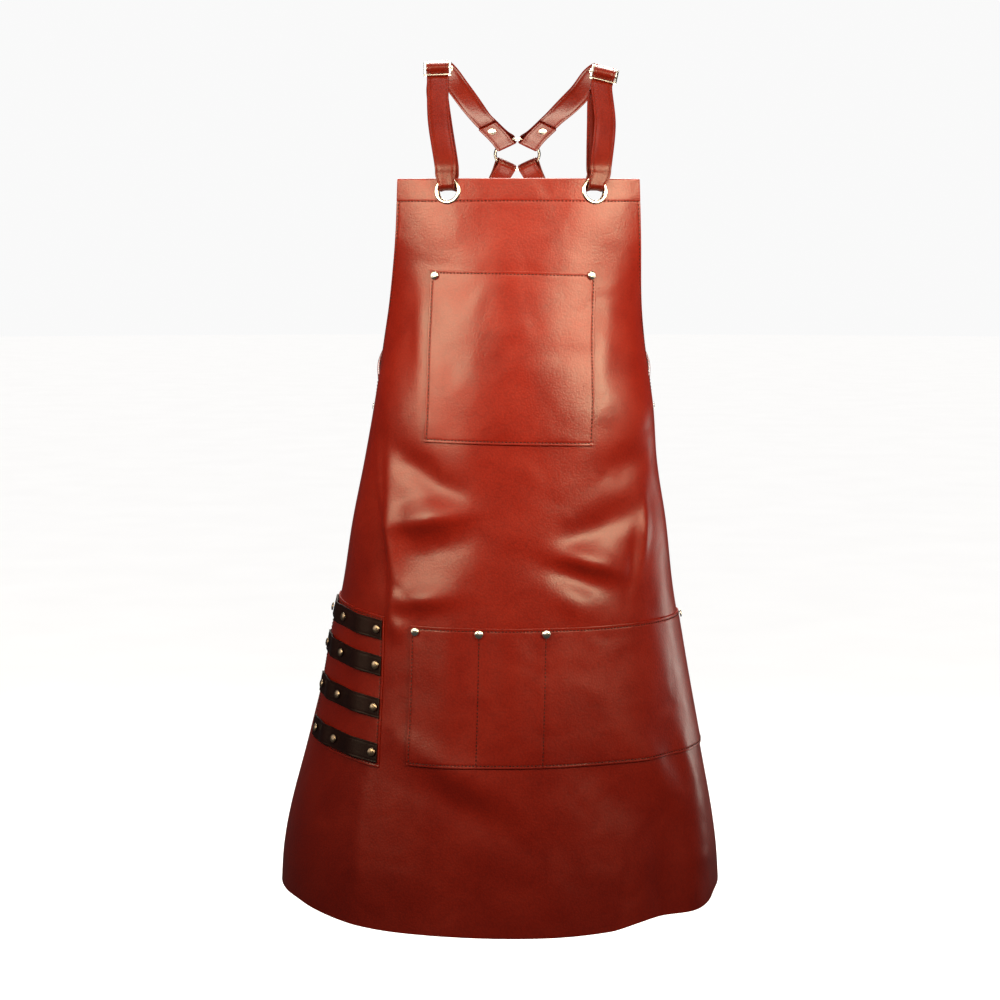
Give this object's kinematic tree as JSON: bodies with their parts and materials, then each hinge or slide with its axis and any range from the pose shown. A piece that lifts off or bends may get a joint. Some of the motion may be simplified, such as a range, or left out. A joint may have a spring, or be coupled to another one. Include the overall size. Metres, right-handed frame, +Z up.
{
  "type": "leather cross-back apron",
  "caption": "Worn leather work apron with a riveted chest pocket, a divided hip pocket, a panel of tool loops and straps that run through grommets and sliders to a ring on the back.",
  "frame": {"origin": "midway between the two shoulders, level with the underside of the shoulder straps where they cross them", "axes": "+Z up, -Y to the wearer's front, +X to the right as seen from the front"},
  "size_m": [0.5189, 0.3498, 0.9836],
  "materials": {
    "hide_leather": "smooth russet-red full-grain leather with a soft wax gloss",
    "strap_leather": "russet-red strap leather with burnished edges",
    "loop_leather": "dark brown, nearly black bridle leather",
    "nickel": "polished warm nickel plate",
    "antique_brass": "antique copper-brass plate, polished on the domes"
  },
  "bodies": {
    "root": {"apron_hide": "hide_leather", "chest_pocket": "hide_leather", "hip_pocket": "hide_leather", "tool_panel": "hide_leather", "tool_loop_1": "loop_leather", "tool_loop_2": "loop_leather", "tool_loop_3": "loop_leather", "tool_loop_4": "loop_leather", "chest_rivet_left": "nickel", "chest_rivet_right": "nickel", "hip_rivet_1": "nickel", "hip_rivet_2": "nickel", "hip_rivet_3": "nickel", "hip_rivet_4": "nickel", "tool_rivet_1_1": "antique_brass", "tool_rivet_1_2": "antique_brass", "tool_rivet_1_3": "antique_brass", "tool_rivet_2_1": "antique_brass", "tool_rivet_2_2": "antique_brass", "tool_rivet_2_3": "antique_brass", "tool_rivet_3_1": "antique_brass", "tool_rivet_3_2": "antique_brass", "tool_rivet_3_3": "antique_brass", "tool_rivet_4_1": "antique_brass", "tool_rivet_4_2": "antique_brass", "tool_rivet_4_3": "antique_brass", "slider_left": "nickel", "grommet_left": "nickel", "shoulder_strap_left": "strap_leather", "ring_rivet_upper_left": "nickel", "waist_strap_left": "strap_leather", "ring_rivet_lower_left": "nickel", "waist_rivet_left": "nickel", "slider_right": "nickel", "grommet_right": "nickel", "shoulder_strap_right": "strap_leather", "ring_rivet_upper_right": "nickel", "waist_strap_right": "strap_leather", "ring_rivet_lower_right": "nickel", "waist_rivet_right": "nickel", "back_ring": "nickel"}
  },
  "joints": []
}
